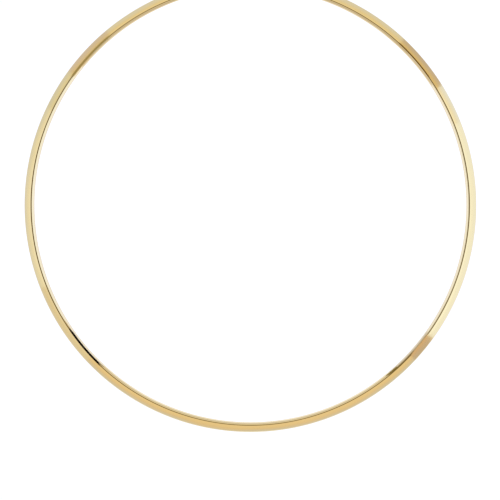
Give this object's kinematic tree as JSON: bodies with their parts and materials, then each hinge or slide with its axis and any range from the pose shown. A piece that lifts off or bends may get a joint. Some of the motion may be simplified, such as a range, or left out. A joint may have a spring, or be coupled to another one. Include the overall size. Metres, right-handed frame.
{
  "type": "collar necklace",
  "caption": "Slim rigid collar necklace: a near-round neck ring of polished yellow gold with a wide outward-sloping face, a narrow inner bevel, and a plain box clasp behind.",
  "frame": {"origin": "middle of the collar's outline seen from above, at the level of its flat underside", "axes": "+Z along the ring's axis, up from the underside to the crest; +Y towards the clasp at the back of the neck, which is up in the picture; +X to the picture's right"},
  "size_m": [0.1438, 0.1446, 0.002],
  "materials": {
    "polished_gold": "mirror-polished 14 carat yellow gold",
    "clasp_gold": "polished 14 carat yellow gold, slightly satin inside its sockets"
  },
  "bodies": {
    "root": {"collar_band": "polished_gold", "clasp": "clasp_gold"}
  },
  "joints": []
}
